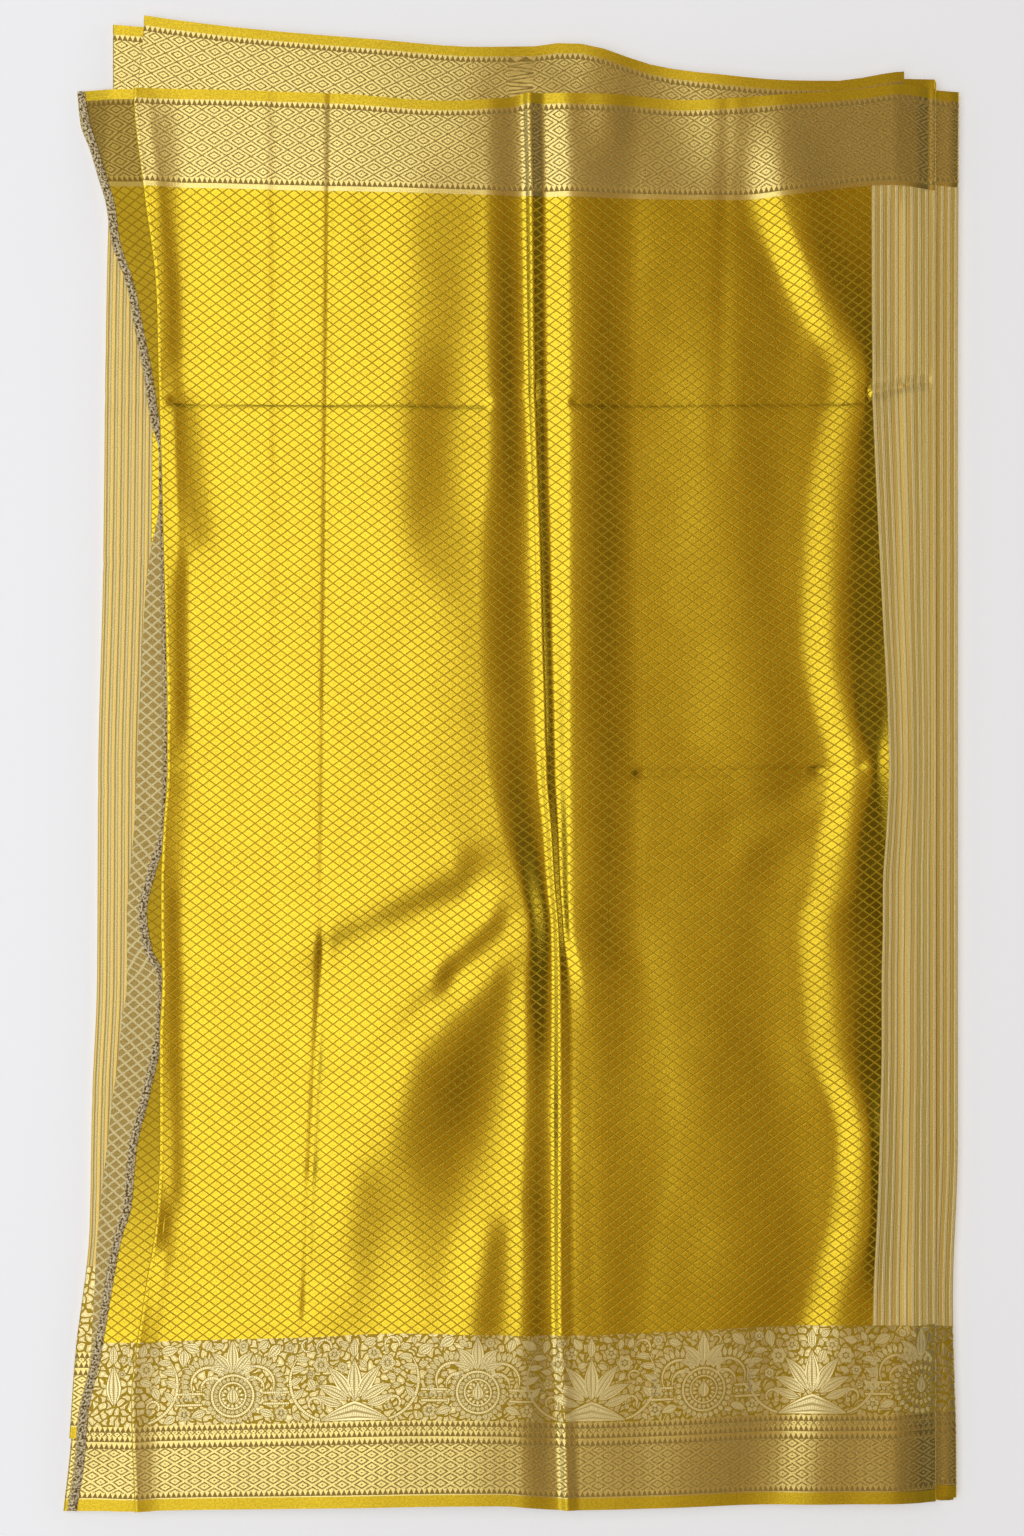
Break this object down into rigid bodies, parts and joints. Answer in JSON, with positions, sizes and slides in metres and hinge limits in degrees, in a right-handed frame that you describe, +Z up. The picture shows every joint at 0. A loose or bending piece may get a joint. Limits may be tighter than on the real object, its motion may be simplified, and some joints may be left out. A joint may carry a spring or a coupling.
{
  "type": "folded saree",
  "caption": "Brocade silk saree with zari borders, folded in half three times and lying flat, face up, with its cloth end at one side.",
  "frame": {"origin": "under the middle of the folded bundle, on the surface that it lies on", "axes": "+Y along the width of the cloth, towards the plain zari border; +X towards the front fold; +Z up through the layers"},
  "size_m": [0.728, 1.218, 0.0231],
  "materials": {
    "field_silk": "golden yellow satin brocade with a fine lattice",
    "zari_silk": "pale gold metallic thread border",
    "striped_silk": "tan gold with fine cream stripes",
    "reverse_silk": "reverse side, tan with a silver cream lattice",
    "layered_silk": "edges of folded golden silk"
  },
  "bodies": {
    "root": {"front_field": "field_silk", "front_top_border": "zari_silk", "front_bottom_border": "zari_silk", "front_stripes": "striped_silk", "end_strip": "field_silk", "end_turnover": "reverse_silk", "second_layer": "zari_silk", "left_under_fold": "striped_silk", "right_under_fold": "striped_silk", "hidden_layers": "layered_silk"}
  },
  "joints": []
}
